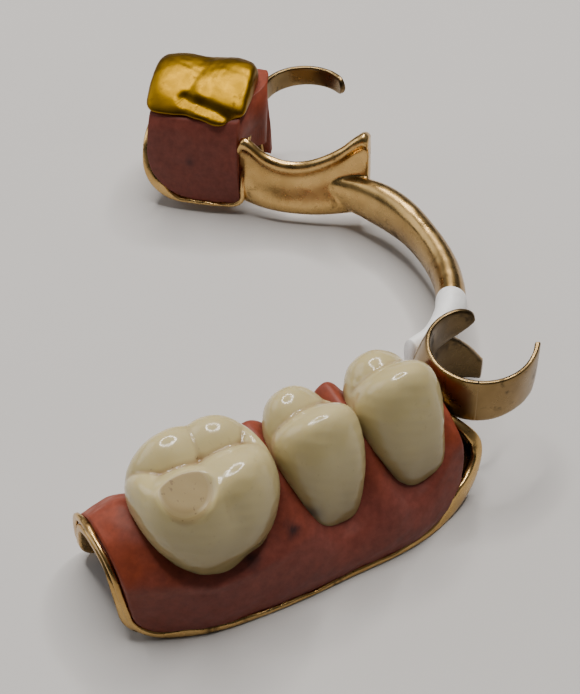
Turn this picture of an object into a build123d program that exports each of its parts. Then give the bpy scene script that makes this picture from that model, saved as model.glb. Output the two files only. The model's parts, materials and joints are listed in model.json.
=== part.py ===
from build123d import *
import math
import os

# Removable lower partial denture: a gold, vulcanite and porcelain appliance in two saddles joined by a cast bar.
# Millimetres, +Z up towards the biting surface. The patient's right saddle is on -X and the front of the mouth on -Y.
# Each saddle has its own working frame: x runs forwards along the gum ridge, y across it to +X, z up.

# ---- driving dimensions ----
plate_thickness = 0.6
rim_thickness = 0.5
rim_height = 0.9
tooth_seat_gap = 0.5
gum_thickness = 1.1
border_depth = -0.6

right_length = 30.9
right_border_height = 0.0
right_rear_corner = 2.5
right_front_corner = 5.0
left_rear = 0.6
left_front = 12.0
left_rear_corner = 4.0
left_front_corner = 1.2
left_border_height = 0.9

clasp_thickness = 0.8
knuckle_radius = clasp_thickness / 2
seat_clearance = 0.05
hinge_gap_angle = 4.5
clasp_recess = 0.05
beyond = 20.0

right_clasp_radius = 3.8
right_clasp_center = (34.0, 0.0)
right_clasp_top = 10.4
right_band_bottom = 5.8
right_lingual_arm_bottom = 6.9
right_hinge_angles = {"buccal": 230.0, "lingual": 130.0}
right_buccal_tip_angle = 337.0
right_lingual_tip_angle = 60.0
right_tip_round = 1.3
buccal_arm_slope = 14.5

left_clasp_radius = 3.9
left_clasp_center = (16.2, 2.5)
left_clasp_top = 11.0
left_arm_bottom = 8.8
left_hinge_angle = 160.0
left_tip_angle = 33.0
left_tip_round = 0.9
left_root_angle = 200.0

bar_height = 4.4
bar_depth = 2.3
bar_middle_height = 3.9

crown_wall = 0.5
crown_bottom = 10.6
crown_top = 12.9
diatoric_hole_radius = 1.1
diatoric_hole_bottom = 5.0
diatoric_hole_top = 9.8
loop_radius = 1.05
loop_wire_radius = 0.28
label_thickness = 0.12

right_side = Plane(origin=(-28.82, 38.15, 0), x_dir=(0.46, -0.888, 0), z_dir=(0, 0, 1))
left_side = Plane(origin=(24.5, 35.5, 0), x_dir=(-0.28, -0.96, 0), z_dir=(0, 0, 1))

# Stations along each ridge: distance forwards, outer edge, crest position, inner edge, crest height of the plate.
# On the right saddle the cheek side is -y; on the left saddle it is +y.
right_ridge = [
    (-1.0, -1.0, 2.6, 5.1, 7.5),
    (1.5, -2.5, 2.0, 5.2, 7.1),
    (5.0, -4.2, 1.1, 5.2, 6.5),
    (10.0, -5.2, 0.4, 5.1, 5.8),
    (17.0, -5.8, -0.2, 4.8, 5.3),
    (24.0, -5.9, -0.5, 4.4, 5.4),
    (31.9, -4.1, -0.5, 3.6, 6.0),
]
left_ridge = [
    (-1.0, -2.4, 0.5, 3.2, 6.2),
    (2.5, -3.0, 0.7, 4.6, 6.4),
    (7.0, -3.2, 0.8, 4.8, 6.2),
    (13.3, -2.7, 0.6, 2.8, 6.0),
]


def section(station, height_fraction, swell):
    """Closed arch-shaped face across the ridge at one station, grown outwards by swell."""
    forwards, outer, crest, inner, height = station
    height = height + swell
    left = outer - swell
    right = inner + swell
    shoulder = height * height_fraction
    points = [
        (left, border_depth),
        (left + 0.04 * (crest - left), 0.3 * height),
        (left + 0.28 * (crest - left), shoulder),
        (crest, height),
        (right + 0.28 * (crest - right), shoulder),
        (right + 0.04 * (crest - right), 0.3 * height),
        (right, border_depth),
    ]
    with BuildSketch(Plane(origin=(forwards, 0, 0), x_dir=(0, 1, 0), z_dir=(1, 0, 0))) as sketch:
        with BuildLine():
            Spline(*points)
            Line(points[-1], points[0])
        make_face()
    return sketch.sketch.faces()[0]


def ridge_body(stations, swell, height_fraction=0.82):
    """Solid arch lofted through every station of a ridge."""
    return loft([section(station, height_fraction, swell) for station in stations])


def side_outline(rear, front, bottom, rear_corner, front_corner, inset=0.0):
    """Side view of a saddle with rounded lower corners, extruded right across it."""
    rear += inset
    front -= inset
    bottom += inset
    with BuildSketch(Plane.XZ) as sketch:
        with BuildLine():
            Polyline((rear, beyond), (rear, bottom), (front, bottom), (front, beyond), (rear, beyond))
        make_face()
        low = sketch.vertices().group_by(Axis.Y)[0].sort_by(Axis.X)
        fillet(low[0], rear_corner - inset / 2)
        low = sketch.vertices().group_by(Axis.Y)[0].sort_by(Axis.X)
        fillet(low[-1], front_corner - inset / 2)
    return extrude(sketch.sketch, beyond, both=True)


def ring_point(center, radius, angle):
    turn = math.radians(angle)
    return (center[0] + radius * math.cos(turn), center[1] + radius * math.sin(turn))


def ring_sector(center, inner, thickness, start, end, bottom, top):
    """Upright curved band: a stretch of a ring wall between two angles."""
    middle = (start + end) / 2
    inside = [ring_point(center, inner, angle) for angle in (start, middle, end)]
    outside = [ring_point(center, inner + thickness, angle) for angle in (end, middle, start)]
    with BuildSketch(Plane.XY.offset(bottom)) as sketch:
        with BuildLine():
            ThreePointArc(*inside)
            Line(inside[-1], outside[0])
            ThreePointArc(*outside)
            Line(outside[-1], inside[0])
        make_face()
    return extrude(sketch.sketch, top - bottom)


def clasp_space(center, radius, gap):
    """Everything inside an upright clasp's outer wall, with a gap around it."""
    return upright_rod(center, radius + clasp_thickness + gap, -1, beyond)


def largest(shape):
    """The main solid of a shape, without the chips that cutting leaves beside it."""
    return shape.solids().sort_by(SortBy.VOLUME)[-1]


def upright_rod(place, radius, bottom, top):
    return Pos(place[0], place[1], (bottom + top) / 2) * Cylinder(radius, top - bottom)


def round_tip(arm, tip, rounding):
    """Rounds the free end of a clasp arm on its two short edges."""
    across = [edge for edge in arm.edges() if abs(edge.length - clasp_thickness) < 0.01]
    near = [edge for edge in across if math.dist((edge.center().X, edge.center().Y), tip) < 0.1]
    return fillet(near, rounding)


# ---- right saddle ----
right_ridge_space = ridge_body(right_ridge, 0.0)
right_plate_body = ridge_body(right_ridge, plate_thickness)
right_rim_body = ridge_body(right_ridge, plate_thickness + rim_thickness)
right_outline = (0.0, right_length, right_border_height, right_rear_corner, right_front_corner)
right_border = side_outline(*right_outline)
right_inner_border = side_outline(*right_outline, inset=rim_height)
right_clasp_space = clasp_space(right_clasp_center, right_clasp_radius, clasp_recess)

right_base_plate = (right_plate_body - right_ridge_space) & right_border
right_base_plate = right_base_plate - right_clasp_space
right_plate_rim = (right_rim_body - right_plate_body) & (right_border - right_inner_border)
right_plate_rim = right_plate_rim - right_clasp_space

# ---- porcelain teeth ----
# Each tooth: centre of the belly, length along the arch, width across it, and its neck as (height, scale, shift
# towards the cheek). Cusps are (x, y, top).
tooth_seat = ridge_body(right_ridge, plate_thickness + tooth_seat_gap)
tooth_belly = 9.6
tooth_shoulder = 11.9
shoulder_scale = 0.84
shoulder_shift = 0.1
cusp_foot = 10.2
cusp_foot_radius = 2.5
cusp_top_radius = 1.5
cusp_rounding = 1.2
fossa_radius = 1.6
fossa_rise = 1.3
teeth = {
    "right_first_molar": {
        "center": (8.4, -0.4),
        "size": (10.8, 10.4),
        "corner": 3.6,
        "neck": (5.2, 0.76, -0.7),
        "cusps": [(10.9, 2.2, 13.4), (7.2, 2.4, 14.0), (10.8, -2.9, 13.6), (6.9, -3.0, 14.1), (4.9, -0.5, 13.1)],
        "fossa": (8.7, -0.2),
    },
    "right_second_premolar": {
        "center": (17.7, -0.5),
        "size": (7.1, 8.4),
        "corner": 3.3,
        "neck": (3.2, 0.60, -2.0),
        "cusps": [(16.8, 1.8, 13.1), (17.8, -2.0, 13.9)],
        "fossa": (17.3, 0.2),
    },
    "right_first_premolar": {
        "center": (24.9, -0.7),
        "size": (6.9, 8.0),
        "corner": 3.2,
        "neck": (3.4, 0.60, -1.9),
        "cusps": [(24.6, 1.4, 12.9), (24.9, -2.0, 14.3)],
        "fossa": (24.7, 0.1),
    },
}


def crown_section(tooth, height, scale, shift=0.0):
    x, y = tooth["center"]
    length, width = tooth["size"]
    with BuildSketch(Plane.XY.offset(height)) as sketch:
        with Locations((x, y + shift)):
            RectangleRounded(length * scale, width * scale, tooth["corner"] * scale)
    return sketch.sketch.faces()[0]


def porcelain_tooth(tooth):
    """Crown with rounded cusps, a central fossa and the blind hole that the vulcanite grips."""
    body = loft([
        crown_section(tooth, *tooth["neck"]),
        crown_section(tooth, tooth_belly, 1.0),
        crown_section(tooth, tooth_shoulder, shoulder_scale, shoulder_shift),
    ])
    for x, y, top in tooth["cusps"]:
        cone = Cone(cusp_foot_radius, cusp_top_radius, top - cusp_foot)
        cone = fillet(cone.edges().sort_by(Axis.Z)[-1], cusp_rounding)
        body = body + Pos(x, y, (top + cusp_foot) / 2) * cone
    body = body - Pos(*tooth["fossa"], tooth_shoulder + fossa_rise) * Sphere(fossa_radius)
    return body - tooth_seat - tooth_hole(tooth)


def tooth_hole(tooth):
    return upright_rod(tooth["center"], diatoric_hole_radius, diatoric_hole_bottom, diatoric_hole_top)


solids = {name: porcelain_tooth(tooth) for name, tooth in teeth.items()}

# ---- right vulcanite base, with retention loops under it ----
# The loops stand between the teeth, which are ground away around them; the clasp's tang holds the front.
right_loop_places = [(14.1, 0.1, 6.0), (21.35, -0.4, 5.9)]


def retention_loop(place):
    """Half-round wire staple that stands on the plate across the ridge."""
    x, y, foot = place
    loop = Pos(x, y, foot) * Rot(0, 90, 0) * Torus(loop_radius, loop_wire_radius)
    above = 2 * loop_radius
    return loop & Pos(x, y, foot + above / 2) * Box(2 * above, 2 * above, above)


right_gum = [
    (-1.0, -1.1, 2.0, 5.2, 7.5),
    (2.0, -2.9, 1.2, 5.3, 8.2),
    (6.0, -4.8, 0.5, 5.3, 7.4),
    (10.0, -5.4, 0.2, 5.2, 6.6),
    (17.0, -6.0, -0.2, 4.9, 6.3),
    (24.0, -6.1, -0.4, 4.5, 6.4),
    (31.9, -4.3, -0.4, 3.7, 6.8),
]
gum_shoulder = 0.9
right_loops = [retention_loop(place) - right_plate_body for place in right_loop_places]
solids = {name: tooth - right_loops[0] - right_loops[1] for name, tooth in solids.items()}
right_vulcanite = ridge_body(right_gum, gum_thickness, gum_shoulder) & right_inner_border
for tooth in teeth.values():
    right_vulcanite = right_vulcanite + tooth_hole(tooth)
right_vulcanite = right_vulcanite - right_plate_body - right_clasp_space - right_loops[0] - right_loops[1]
for tooth in solids.values():
    right_vulcanite = right_vulcanite - tooth

# ---- right clasp: fixed band, two sprung arms and the plate under the tongue-side arm ----
right_pivot_radius = right_clasp_radius + knuckle_radius
seat_radius = knuckle_radius + seat_clearance
right_pivots = {
    name: ring_point(right_clasp_center, right_pivot_radius, angle) for name, angle in right_hinge_angles.items()
}
band = ring_sector(
    right_clasp_center,
    right_clasp_radius,
    clasp_thickness,
    right_hinge_angles["lingual"] + hinge_gap_angle,
    right_hinge_angles["buccal"] - hinge_gap_angle,
    right_band_bottom,
    right_clasp_top,
)
for pivot in right_pivots.values():
    band = band - upright_rod(pivot, seat_radius, 0, beyond)
tang_length = 3.4
tang_width = 2.4
tang_thickness = 0.6
tang_height = 7.3
tang_overlap = 0.2
tang_front = right_clasp_center[0] - right_clasp_radius - clasp_thickness / 2
tang = Pos(tang_front - tang_length / 2, 0, tang_height) * Box(tang_length, tang_width, tang_thickness)
right_ring_space = upright_rod(right_clasp_center, right_clasp_radius + tang_overlap, 0, beyond)
right_clasp_band = band + (tang - right_ring_space)
right_vulcanite = right_vulcanite - tang
solids["right_first_premolar"] = solids["right_first_premolar"] - tang

buccal_arm = ring_sector(
    right_clasp_center,
    right_clasp_radius,
    clasp_thickness,
    right_hinge_angles["buccal"],
    right_buccal_tip_angle,
    right_band_bottom,
    right_clasp_top,
)
buccal_root = right_pivots["buccal"]
buccal_arm = buccal_arm + upright_rod(buccal_root, knuckle_radius, right_band_bottom, right_clasp_top)
under_arm = Pos(*buccal_root, right_band_bottom) * Rot(0, -buccal_arm_slope, 0)
buccal_arm = buccal_arm - under_arm * Pos(beyond / 2 + seat_radius, 0, -beyond / 2) * Box(beyond, beyond, beyond)
buccal_tip = ring_point(right_clasp_center, right_pivot_radius, right_buccal_tip_angle)
right_clasp_buccal_arm = round_tip(buccal_arm, buccal_tip, right_tip_round)

lingual_arm = ring_sector(
    right_clasp_center,
    right_clasp_radius,
    clasp_thickness,
    right_lingual_tip_angle,
    right_hinge_angles["lingual"],
    right_lingual_arm_bottom,
    right_clasp_top,
)
lingual_root = right_pivots["lingual"]
lingual_arm = lingual_arm + upright_rod(lingual_root, knuckle_radius, right_lingual_arm_bottom, right_clasp_top)
lingual_tip = ring_point(right_clasp_center, right_pivot_radius, right_lingual_tip_angle)
right_clasp_lingual_arm = round_tip(lingual_arm, lingual_tip, right_tip_round)

# The plate is a flared stretch of wall around the clasp's axis, sloped off at its top front corner.
lingual_plate_top = 6.6
lingual_plate_bottom = 1.2
lingual_plate_start = 44.0
lingual_plate_end = 148.0
top_wall = (5.0, 5.9)
bottom_wall = (5.9, 7.1)
front_slope_angle = 40.0
front_slope_place = (5.4, 4.3)
with BuildSketch(Plane.XZ) as plate_profile:
    with BuildLine():
        Polyline(
            (top_wall[0], lingual_plate_top),
            (top_wall[1], lingual_plate_top),
            (bottom_wall[1], lingual_plate_bottom),
            (bottom_wall[0], lingual_plate_bottom),
            (top_wall[0], lingual_plate_top),
        )
    make_face()
plate_wall = revolve(plate_profile.sketch, Axis.Z, lingual_plate_end - lingual_plate_start)
plate_wall = Pos(*right_clasp_center) * Rot(0, 0, lingual_plate_start) * plate_wall
slope_foot = Pos(right_clasp_center[0] + front_slope_place[0], 0, front_slope_place[1])
front_slope = slope_foot * Rot(0, front_slope_angle, 0) * Pos(0, 0, beyond / 2) * Box(beyond, beyond, beyond)
right_lingual_plate = plate_wall - (right_rim_body & right_border) - front_slope
right_vulcanite = largest(right_vulcanite - right_lingual_plate)

# ---- left saddle ----
left_ridge_space = ridge_body(left_ridge, 0.0)
left_plate_body = ridge_body(left_ridge, plate_thickness)
left_rim_body = ridge_body(left_ridge, plate_thickness + rim_thickness)
left_outline = (left_rear, left_front, left_border_height, left_rear_corner, left_front_corner)
left_border = side_outline(*left_outline)
left_inner_border = side_outline(*left_outline, inset=rim_height)
left_base_plate = (left_plate_body - left_ridge_space) & left_border
left_plate_rim = (left_rim_body - left_plate_body) & (left_border - left_inner_border)

# ---- left gold crown over a vulcanite block ----
crown_center = (6.0, 0.8)
crown_side = 9.6
crown_corner = 2.6
crown_edge = 0.9
groove_radius = 0.9
groove_length = 7.0
groove_angle = -16
groove_place = (0, -1.6, 0.5)


def crown_shell(inset, bottom, top):
    """Low molar crown with a rounded top edge, drawn in by inset for its inside."""
    side = crown_side - 2 * inset
    with BuildSketch(Plane.XY.offset(bottom)) as sketch:
        with Locations(crown_center):
            RectangleRounded(side, side, crown_corner - inset)
    block = extrude(sketch.sketch, top - bottom)
    return fillet(block.edges().group_by(Axis.Z)[-1], crown_edge - inset)


crown_outside = crown_shell(0, crown_bottom, crown_top)
crown_inside = crown_shell(crown_wall, crown_bottom, crown_top - crown_wall)
groove_middle = Pos(*crown_center, crown_top) * Pos(*groove_place)
crown_groove = groove_middle * Rot(0, 0, groove_angle) * Rot(90, 0, 90) * Cylinder(groove_radius, groove_length)
left_gold_crown = crown_outside - crown_groove - crown_inside

left_block = [
    (-1.0, -2.5, 0.5, 3.6, 9.2),
    (2.5, -3.2, 0.8, 5.0, 9.6),
    (7.0, -3.4, 0.8, 5.2, 9.6),
    (13.3, -3.0, 0.6, 3.1, 9.4),
]
block_shoulder = 0.97
under_crown = Pos(0, 0, crown_bottom - beyond) * Box(3 * beyond, 3 * beyond, 2 * beyond)
crown_core = crown_shell(crown_wall, crown_bottom - 1, crown_top - crown_wall)
left_vulcanite_block = (ridge_body(left_block, gum_thickness, block_shoulder) & left_inner_border) - left_plate_body
left_vulcanite_block = (left_vulcanite_block & under_crown) + crown_core - crown_groove

# A headed post in the crown's core holds it to the plate.
anchor_place = (6.0, 2.2)
anchor_radius = 0.6
anchor_head_radius = 1.2
anchor_head_bottom = 10.6
anchor_head_top = 11.2
anchor_top = 11.6
anchor_foot = 6.2
left_crown_anchor = upright_rod(anchor_place, anchor_radius, anchor_foot, anchor_top)
left_crown_anchor = left_crown_anchor + upright_rod(
    anchor_place,
    anchor_head_radius,
    anchor_head_bottom,
    anchor_head_top,
)
left_crown_anchor = left_crown_anchor - left_plate_body
left_loop_places = [(3.0, 0.7, 6.9), (9.2, 0.7, 6.7)]
left_loops = [retention_loop(place) - left_plate_body for place in left_loop_places]

# ---- left clasp and tongue-side plate ----
left_pivot_radius = left_clasp_radius + knuckle_radius
left_pivot = ring_point(left_clasp_center, left_pivot_radius, left_hinge_angle)
left_root = ring_sector(
    left_clasp_center,
    left_clasp_radius,
    clasp_thickness,
    left_hinge_angle + hinge_gap_angle,
    left_root_angle,
    left_arm_bottom,
    left_clasp_top,
)
left_pivot_seat = upright_rod(left_pivot, seat_radius, 0, beyond)
root_tang = Pos(10.6, 1.6, 9.6) * Box(3.6, 1.6, 0.8)
left_ring_space = upright_rod(left_clasp_center, left_clasp_radius + tang_overlap, 0, beyond)
left_clasp_root = left_root - left_pivot_seat + (root_tang - left_ring_space)

left_arm = ring_sector(
    left_clasp_center,
    left_clasp_radius,
    clasp_thickness,
    left_tip_angle,
    left_hinge_angle,
    left_arm_bottom,
    left_clasp_top,
)
left_arm = left_arm + upright_rod(left_pivot, knuckle_radius, left_arm_bottom, left_clasp_top)
left_tip = ring_point(left_clasp_center, left_pivot_radius, left_tip_angle)
left_clasp_buccal_arm = round_tip(left_arm, left_tip, left_tip_round)
left_clasp_space = clasp_space(left_clasp_center, left_clasp_radius, 3 * clasp_recess)
left_vulcanite_block = left_vulcanite_block - left_clasp_space - root_tang - left_crown_anchor
for loop in left_loops:
    left_vulcanite_block = left_vulcanite_block - loop
left_vulcanite_block = largest(left_vulcanite_block)
left_base_plate = left_base_plate - left_clasp_space
left_plate_rim = left_plate_rim - left_clasp_space

# The tongue-side plate follows the teeth in plan and is scalloped along its top.
left_plate_bottom = 0.8
left_plate_top = 9.9
scallop_place = (16.3, 16.5)
scallop_radius = 9.4
with BuildSketch(Plane.XY.offset(left_plate_bottom)) as left_plate_plan:
    with BuildLine():
        ThreePointArc((10.6, -3.2), (17.0, -4.3), (23.4, -3.3))
        Line((23.4, -3.3), (23.2, -2.2))
        ThreePointArc((23.2, -2.2), (17.0, -3.1), (10.6, -2.1))
        Line((10.6, -2.1), (10.6, -3.2))
    make_face()
left_lingual_plate = extrude(left_plate_plan.sketch, left_plate_top - left_plate_bottom)
scallop = Pos(scallop_place[0], 0, scallop_place[1]) * Rot(90, 0, 0) * Cylinder(scallop_radius, beyond)
left_lingual_plate = left_lingual_plate - scallop - (left_rim_body & left_border) - left_vulcanite_block
left_lingual_plate = largest(left_lingual_plate - (left_plate_body & left_border))

# ---- lingual bar ----
# Its middle line runs in plan from the left tongue-side plate to the right one.
bar_route = [(14.9, 17.2), (13.2, 13.4), (9.2, 10.3), (3.0, 8.25), (-2.4, 8.3), (-6.2, 10.2)]
bar_line = Spline(*bar_route)
bar_stations = 9
label_start = 0.80
label_end = 0.94
label_stations = 3


def bar_section(fraction, swell=0.0):
    """Half-pear section: flat towards the gum, rounded and heavier below towards the tongue."""
    heading = bar_line.tangent_at(fraction)
    place = bar_line.position_at(fraction)
    across = Vector(0, 0, 1).cross(heading)
    plane = Plane(origin=(place.X, place.Y, bar_middle_height), x_dir=across, z_dir=heading)
    half = bar_height / 2 + swell
    depth = bar_depth + 2 * swell
    with BuildSketch(plane) as sketch:
        with BuildLine():
            Spline(
                (0.35 * depth, half),
                (-0.2 * depth, 0.8 * half),
                (-0.55 * depth, -0.35 * half),
                (0, -half),
                (0.42 * depth, -0.6 * half),
                (0.45 * depth, 0.3 * half),
                periodic=True,
            )
        make_face()
    return sketch.sketch.faces()[0]


def bar_stretch(start, end, stations, swell=0.0):
    """The bar's solid between two fractions of its middle line."""
    step = (end - start) / (stations - 1)
    return loft([bar_section(start + step * index, swell) for index in range(stations)])


place_right = right_side.location
place_left = left_side.location
bar = bar_stretch(0, 1, bar_stations)
lingual_bar = largest(bar - place_right * right_lingual_plate - place_left * left_lingual_plate)

# ---- blank catalogue label: a thin skin of white varnish around the bar ----
catalogue_label = bar_stretch(label_start, label_end, label_stations, label_thickness) - bar
catalogue_label = largest(catalogue_label - place_right * right_lingual_plate)

nodes_right = {
    "right_base_plate": right_base_plate,
    "right_plate_rim": right_plate_rim,
    "right_vulcanite_base": right_vulcanite,
    "right_retention_loops": Compound(children=right_loops),
    "right_clasp_band": right_clasp_band,
    "right_clasp_buccal_arm": right_clasp_buccal_arm,
    "right_clasp_lingual_arm": right_clasp_lingual_arm,
    "right_lingual_plate": right_lingual_plate,
    **solids,
}
nodes_left = {
    "left_base_plate": left_base_plate,
    "left_plate_rim": left_plate_rim,
    "left_vulcanite_block": left_vulcanite_block,
    "left_gold_crown": left_gold_crown,
    "left_crown_anchor": left_crown_anchor,
    "left_retention_loops": Compound(children=left_loops),
    "left_clasp_root": left_clasp_root,
    "left_clasp_buccal_arm": left_clasp_buccal_arm,
    "left_lingual_plate": left_lingual_plate,
}
nodes = {name: place_right * shape for name, shape in nodes_right.items()}
nodes |= {name: place_left * shape for name, shape in nodes_left.items()}
nodes["lingual_bar"] = lingual_bar
nodes["catalogue_label"] = catalogue_label

# ---- origin at the middle of the base, then one file for each piece ----
# The saddles already stand on z = 0.
whole = Compound(children=[Compound(shape.wrapped) for shape in nodes.values()]).bounding_box()
to_origin = Location((-whole.center().X, -whole.center().Y, 0))
print("size", whole.size)

os.makedirs("parts", exist_ok=True)
for name, shape in nodes.items():
    export_step(to_origin * shape, f"parts/{name}.step")
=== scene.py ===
import json
import math
import bpy
import numpy as np
from mathutils import Matrix, Vector


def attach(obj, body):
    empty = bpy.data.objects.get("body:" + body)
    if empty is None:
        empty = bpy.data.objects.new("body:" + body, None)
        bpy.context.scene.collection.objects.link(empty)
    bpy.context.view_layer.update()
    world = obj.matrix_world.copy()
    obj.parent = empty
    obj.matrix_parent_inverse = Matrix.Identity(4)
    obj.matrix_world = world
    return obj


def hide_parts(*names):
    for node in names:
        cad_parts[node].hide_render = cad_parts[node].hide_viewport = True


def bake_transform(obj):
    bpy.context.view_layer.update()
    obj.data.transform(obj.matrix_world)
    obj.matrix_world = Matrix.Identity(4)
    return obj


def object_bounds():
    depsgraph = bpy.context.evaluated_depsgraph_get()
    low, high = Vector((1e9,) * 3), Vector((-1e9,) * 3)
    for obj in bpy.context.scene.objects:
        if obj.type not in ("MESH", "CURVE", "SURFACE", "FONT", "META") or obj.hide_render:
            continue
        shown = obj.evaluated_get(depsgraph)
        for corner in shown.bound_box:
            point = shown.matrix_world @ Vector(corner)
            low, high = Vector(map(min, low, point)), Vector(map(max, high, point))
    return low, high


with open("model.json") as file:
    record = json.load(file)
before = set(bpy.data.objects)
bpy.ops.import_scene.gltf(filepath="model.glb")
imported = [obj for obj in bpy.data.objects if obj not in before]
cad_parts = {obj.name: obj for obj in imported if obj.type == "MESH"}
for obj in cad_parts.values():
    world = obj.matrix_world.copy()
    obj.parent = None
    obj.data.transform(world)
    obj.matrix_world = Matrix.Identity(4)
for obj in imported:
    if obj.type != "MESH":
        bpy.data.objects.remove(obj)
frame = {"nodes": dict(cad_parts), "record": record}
cad_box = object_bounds()

# All shapes are worked out in millimetres and written to the meshes in metres.
MM = 0.001


# ---- working frames ----
class Side:
    """Working frame of a saddle in millimetres: x forwards along the ridge, y across towards +X, z up."""

    def __init__(self, mount, ring_center, forward):
        self.forward = np.array(forward) / math.hypot(*forward)
        self.across = np.array([-self.forward[1], self.forward[0]])
        self.origin = mount[:2] / MM - ring_center[0] * self.forward - ring_center[1] * self.across

    def place(self, points):
        """Saddle millimetres to row metres."""
        points = np.asarray(points, float)
        plan = self.origin + points[..., :1] * self.forward + points[..., 1:2] * self.across
        return np.concatenate([plan, points[..., 2:3]], -1) * MM

    def local(self, points):
        """Row millimetres in plan to saddle millimetres."""
        offset = np.asarray(points, float)[..., :2] - self.origin
        return np.stack([offset @ self.forward, offset @ self.across], -1)


mounts = {mount["name"]: np.array(mount["pos_m"]) for mount in frame["record"]["mounts"]}
RIGHT_RING = (34.0, 0.0)
LEFT_RING = (16.2, 2.5)
right = Side(mounts["right_canine_clasp"], RIGHT_RING, (0.46, -0.888))
left = Side(mounts["left_premolar_clasp"], LEFT_RING, (-0.28, -0.96))

# The arch frame has the axes of the row; its origin lies midway between the two sides at the front.
arch_origin = right.place([0, 0, 0]) / MM - np.array([-28.82, 38.15, 0])


def arch(points):
    """Arch millimetres to row metres."""
    return (np.asarray(points, float) + arch_origin) * MM


# ---- small maths ----
def curve(xs, ys):
    """Smooth curve through the given points, flat beyond its ends."""
    xs = np.array(xs, float)
    ys = np.array(ys, float)
    slopes = np.gradient(ys, xs)

    def value(at):
        at = np.clip(np.asarray(at, float), xs[0], xs[-1])
        i = np.clip(np.searchsorted(xs, at) - 1, 0, len(xs) - 2)
        h = xs[i + 1] - xs[i]
        t = (at - xs[i]) / h
        a = (1 + 2 * t) * (1 - t) ** 2 * ys[i] + t * (1 - t) ** 2 * h * slopes[i]
        return a + t * t * (3 - 2 * t) * ys[i + 1] + t * t * (t - 1) * h * slopes[i + 1]

    return value


def smooth_min(values, k):
    """Soft minimum of several arrays, rounding their meeting over about k."""
    values = np.stack(values)
    low = values.min(0)
    return low - k * np.log(np.exp(-(values - low) / k).sum(0))


def smooth_max(values, k):
    return -smooth_min([-v for v in values], k)


def spline_points(points, count):
    """Even samples of a Catmull-Rom curve through points, which may be stacked (..., n, d)."""
    points = np.asarray(points, float)
    padded = np.concatenate([2 * points[..., :1, :] - points[..., 1:2, :], points,
                             2 * points[..., -1:, :] - points[..., -2:-1, :]], -2)
    spans = points.shape[-2] - 1
    at = np.linspace(0, spans, count)
    i = np.minimum(at.astype(int), spans - 1)
    t = (at - i)[:, None]
    p0, p1, p2, p3 = (padded[..., i + k, :] for k in range(4))
    return 0.5 * (2 * p1 + (p2 - p0) * t + (2 * p0 - 5 * p1 + 4 * p2 - p3) * t**2
                  + (3 * p1 - p0 - 3 * p2 + p3) * t**3)


def bump(x, center, width):
    """Rounded bump of height 1."""
    return np.exp(-(((x - center) / width) ** 2))


def ripple(points, scale, seed, octaves=3):
    """Cheap smooth noise from a few sine waves in seeded directions, about -1 to 1."""
    rng = np.random.default_rng(seed)
    total = np.zeros(points.shape[:-1])
    weight = 0.0
    for octave in range(octaves):
        for _ in range(5):
            way = rng.normal(size=points.shape[-1])
            way *= 2 * math.pi / (scale / 1.9**octave) / np.linalg.norm(way)
            total += np.sin(points @ way + rng.uniform(0, 6.3)) * 0.6**octave
        weight += 0.6**octave
    return total / (weight * 2.2)


# ---- meshes ----
def make_piece(name, verts, faces, node):
    """Mesh object from row-frame points that stands for a CAD node."""
    mesh = bpy.data.meshes.new(name)
    mesh.from_pydata([tuple(v) for v in verts], [], [tuple(f) for f in faces])
    mesh.validate()
    mesh.update()
    piece = bpy.data.objects.new(name, mesh)
    bpy.context.collection.objects.link(piece)
    for polygon in mesh.polygons:
        polygon.use_smooth = True
    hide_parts(node)
    return piece


def grid_faces(rows, columns, offset=0, flip=False, loop_columns=False):
    faces = []
    last = columns if loop_columns else columns - 1
    for i in range(rows - 1):
        for j in range(last):
            a = offset + i * columns + j
            b = offset + i * columns + (j + 1) % columns
            c = offset + (i + 1) * columns + (j + 1) % columns
            d = offset + (i + 1) * columns + j
            faces.append((d, c, b, a) if flip else (a, b, c, d))
    return faces


def shell_mesh(outer, inner):
    """Closed mesh from an outer and an inner grid of the same shape, joined round the border."""
    rows, columns = outer.shape[:2]
    count = rows * columns
    verts = np.concatenate([outer.reshape(-1, 3), inner.reshape(-1, 3)])
    faces = grid_faces(rows, columns) + grid_faces(rows, columns, count, flip=True)
    border = list(range(columns))
    border += [i * columns + columns - 1 for i in range(1, rows)]
    border += [(rows - 1) * columns + j for j in range(columns - 2, -1, -1)]
    border += [i * columns for i in range(rows - 2, 0, -1)]
    for a, b in zip(border, border[1:] + border[:1]):
        faces.append((b, a, a + count, b + count))
    return verts, faces


def sweep_mesh(rings, closed=False):
    """Mesh from a run of closed rings (n, k, 3): capped at both ends, or joined into a loop."""
    count, around = rings.shape[:2]
    verts = rings.reshape(-1, 3)
    faces = grid_faces(count, around, loop_columns=True)
    if closed:
        for j in range(around):
            a = (count - 1) * around + j
            b = (count - 1) * around + (j + 1) % around
            faces.append((a, b, (j + 1) % around, j))
        return verts, faces
    verts = np.concatenate([verts, rings[:1].mean(1), rings[-1:].mean(1)])
    for j in range(around):
        following = (j + 1) % around
        faces.append((following, j, count * around))
        faces.append(((count - 1) * around + j, (count - 1) * around + following, count * around + 1))
    return verts, faces


def superellipse(around, power):
    """Closed rounded-rectangle outline in the unit square, as (a, b) pairs."""
    turn = np.linspace(0, 2 * math.pi, around, endpoint=False) + math.pi / around
    c, s = np.cos(turn), np.sin(turn)
    return np.stack([np.sign(c) * np.abs(c) ** (2 / power), np.sign(s) * np.abs(s) ** (2 / power)], -1)


# ---- materials ----
def new_material(name):
    material = bpy.data.materials.new(name)
    material.use_nodes = True
    tree = material.node_tree
    shader = tree.nodes["Principled BSDF"]
    place = tree.nodes.new("ShaderNodeTexCoord")
    return material, tree, shader, place


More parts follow.
